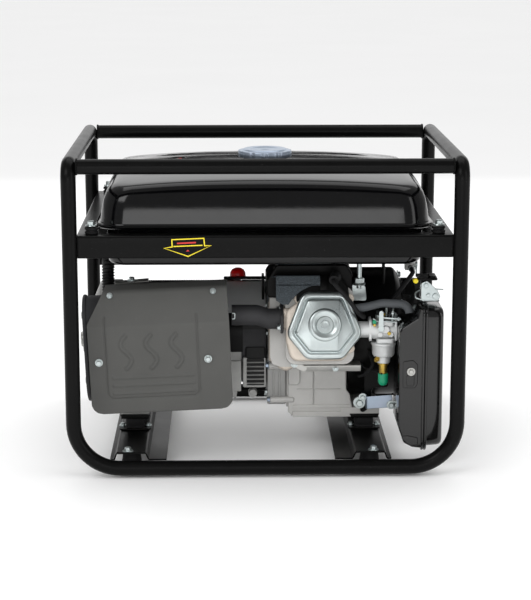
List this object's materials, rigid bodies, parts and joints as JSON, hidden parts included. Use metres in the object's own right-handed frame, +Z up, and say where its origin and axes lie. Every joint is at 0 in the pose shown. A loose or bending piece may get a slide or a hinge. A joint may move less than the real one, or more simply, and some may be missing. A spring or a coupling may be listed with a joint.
{
  "type": "portable generator",
  "caption": "Open-frame petrol generator: tilted single-cylinder engine and alternator on rubber mounts in a bent-tube frame under a black steel fuel tank.",
  "frame": {"origin": "middle of the footprint on the floor", "axes": "+X from the alternator to the recoil starter, -Y the engine-head side, +Y the control-panel side, +Z up"},
  "size_m": [0.6894, 0.55, 0.558],
  "materials": {
    "frame_paint": "gloss black powder coat",
    "tank_paint": "high-gloss black enamel",
    "heat_paint": "matt grey heat-resistant paint",
    "hammered_paint": "dark blue-grey hammered paint",
    "cast_aluminium": "sand-cast aluminium",
    "die_casting": "shot-blasted die casting",
    "zinc": "bright zinc plate",
    "blue_zinc": "blue-passivated zinc plate",
    "steel": "bare steel",
    "cast_iron": "dark scale",
    "copper": "varnished copper winding",
    "rubber": "black moulded rubber",
    "grey_hose": "grey rubber hose",
    "black_plastic": "black moulded plastic",
    "red_plastic": "red moulded plastic",
    "foam": "oiled open-cell foam"
  },
  "bodies": {
    "root": {"frame_loop_engine_side": "frame_paint", "frame_loop_panel_side": "frame_paint", "top_rail_engine_side": "frame_paint", "top_rail_panel_side": "frame_paint", "tank_support_frame": "frame_paint", "base_channel_left": "frame_paint", "base_channel_right": "frame_paint", "fuel_tank_upper": "tank_paint", "fuel_tank_lower": "tank_paint", "fuel_strainer": "steel", "fuel_gauge": "black_plastic", "fuel_valve": "die_casting", "fuel_hose": "rubber", "crankcase": "cast_aluminium", "crankcase_cover": "die_casting", "cylinder_head": "cast_aluminium", "valve_cover": "zinc", "head_shroud": "hammered_paint", "fan_housing": "frame_paint", "recoil_housing": "frame_paint", "spark_plug_and_lead": "rubber", "carburettor": "die_casting", "float_bowl": "die_casting", "breather_hose": "grey_hose", "air_filter_case": "black_plastic", "air_filter_cover": "black_plastic", "air_filter_element": "foam", "exhaust_elbow": "cast_iron", "muffler_body": "cast_iron", "heat_shield": "heat_paint", "alternator_adapter": "die_casting", "alternator_stator": "steel", "alternator_end_cover": "die_casting", "cable_conduit": "black_plastic", "control_panel_box": "frame_paint", "control_panel_plate": "black_plastic", "rubber_foot_left_engine_side": "rubber", "vibration_mount_left_engine_side": "rubber", "rubber_foot_left_panel_side": "rubber", "vibration_mount_left_panel_side": "rubber", "rubber_foot_right_engine_side": "rubber", "vibration_mount_right_engine_side": "rubber", "rubber_foot_right_panel_side": "rubber", "vibration_mount_right_panel_side": "rubber"},
    "cap_lift": {"fuel_cap_gasket": "rubber"},
    "cap": {"fuel_cap": "blue_zinc"},
    "fuel_lever": {"fuel_valve_lever": "zinc"},
    "choke": {"choke_lever": "zinc"},
    "throttle": {"throttle_arm": "zinc"},
    "crank": {"crankshaft": "steel", "flywheel": "cast_iron", "alternator_rotor": "copper"},
    "piston": {"piston": "cast_aluminium"},
    "dipstick": {"oil_dipstick": "black_plastic"},
    "pulley": {"recoil_pulley": "black_plastic"},
    "grip": {"starter_grip": "rubber"},
    "lid_left": {"socket_lid_left": "black_plastic"},
    "lid_right": {"socket_lid_right": "black_plastic"},
    "switch": {"engine_switch": "red_plastic"},
    "breaker": {"circuit_breaker": "black_plastic"}
  },
  "joints": [
    {"name": "cap_lift_slide", "type": "slide", "parent": "root", "child": "cap_lift", "axis": [0, 0, 1], "range_m": [0, 0.06]},
    {"name": "cap_turn", "type": "hinge", "parent": "cap_lift", "child": "cap", "pos_m": [0.004, 0, 0.533], "axis": [0, 0, 1], "range_deg": [0, 90]},
    {"name": "fuel_lever_turn", "type": "hinge", "parent": "root", "child": "fuel_lever", "pos_m": [0.277, -0.06, 0.336], "axis": [1, 0, 0], "range_deg": [-90, 0]},
    {"name": "choke_turn", "type": "hinge", "parent": "root", "child": "choke", "pos_m": [0.204, -0.189, 0.246], "axis": [0, 1, 0], "range_deg": [0, 55]},
    {"name": "throttle_turn", "type": "hinge", "parent": "root", "child": "throttle", "pos_m": [0.203, -0.16, 0.262], "axis": [0, 0, 1], "range_deg": [0, 30]},
    {"name": "crank_spin", "type": "hinge", "parent": "root", "child": "crank", "pos_m": [0, 0, 0.2], "axis": [1, 0, 0], "continuous": true},
    {"name": "piston_slide", "type": "slide", "parent": "root", "child": "piston", "axis": [0, 0.9578, -0.2874], "range_m": [0, 0.064]},
    {"name": "dipstick_pull", "type": "slide", "parent": "root", "child": "dipstick", "axis": [0, 1, 0], "range_m": [0, 0.09]},
    {"name": "grip_pull", "type": "slide", "parent": "root", "child": "grip", "axis": [0, 1, 0], "range_m": [0, 0.3], "stiffness_N_per_m": 40},
    {"name": "pulley_turn", "type": "hinge", "parent": "root", "child": "pulley", "pos_m": [0.272, 0, 0.2], "axis": [1, 0, 0], "range_deg": [-313, 0]},
    {"name": "lid_left_turn", "type": "hinge", "parent": "root", "child": "lid_left", "pos_m": [0.06, 0.2692, 0.364], "axis": [1, 0, 0], "range_deg": [0, 100], "stiffness_Nm_per_rad": 0.03},
    {"name": "lid_right_turn", "type": "hinge", "parent": "root", "child": "lid_right", "pos_m": [0.13, 0.2692, 0.364], "axis": [1, 0, 0], "range_deg": [0, 100], "stiffness_Nm_per_rad": 0.03},
    {"name": "switch_rock", "type": "hinge", "parent": "root", "child": "switch", "pos_m": [-0.11, 0.253, 0.335], "axis": [1, 0, 0], "range_deg": [-14, 0]},
    {"name": "breaker_throw", "type": "hinge", "parent": "root", "child": "breaker", "pos_m": [0.2, 0.246, 0.332], "axis": [1, 0, 0], "range_deg": [-35, 0]}
  ],
  "couplings": [
    {"joint": "pulley_turn", "follows": "grip_pull", "rad_per_m": -18.182}
  ]
}
